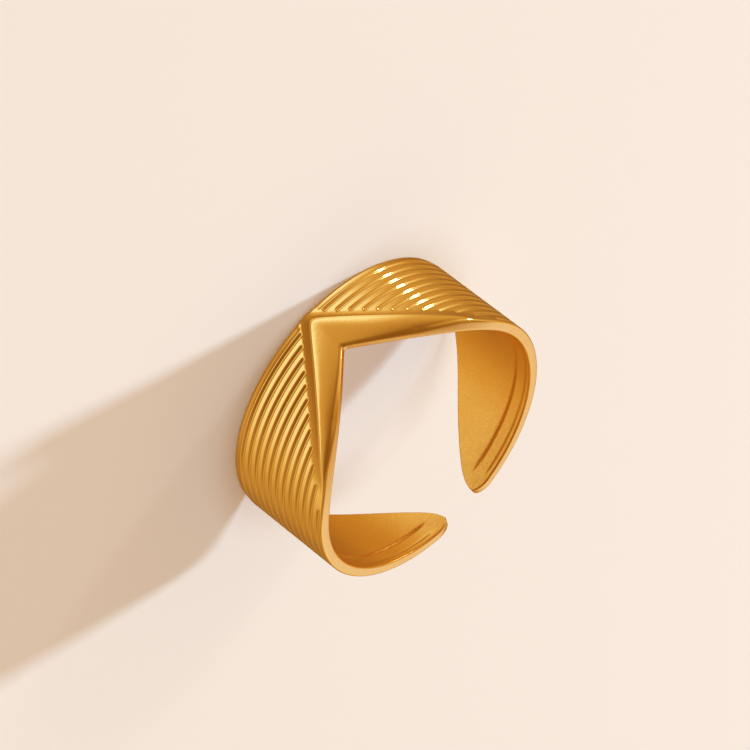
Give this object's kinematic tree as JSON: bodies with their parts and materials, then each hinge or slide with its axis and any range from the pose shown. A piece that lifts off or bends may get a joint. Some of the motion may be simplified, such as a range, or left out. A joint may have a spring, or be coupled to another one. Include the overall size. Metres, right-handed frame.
{
  "type": "chevron ring",
  "caption": "Open cuff finger ring with a polished chevron over a fluted band, a V-shaped notch in one edge and tapering arms.",
  "frame": {"origin": "on the finger hole's axis, level with the plain rear edge that the ring rests on", "axes": "+Z along the finger hole towards the notched edge, -Y through the chevron's point, +Y through the opening"},
  "size_m": [0.0184, 0.0185, 0.0076],
  "materials": {
    "gold": "polished gold plating outside, satin inside"
  },
  "bodies": {
    "root": {"ring_band": "gold"}
  },
  "joints": []
}
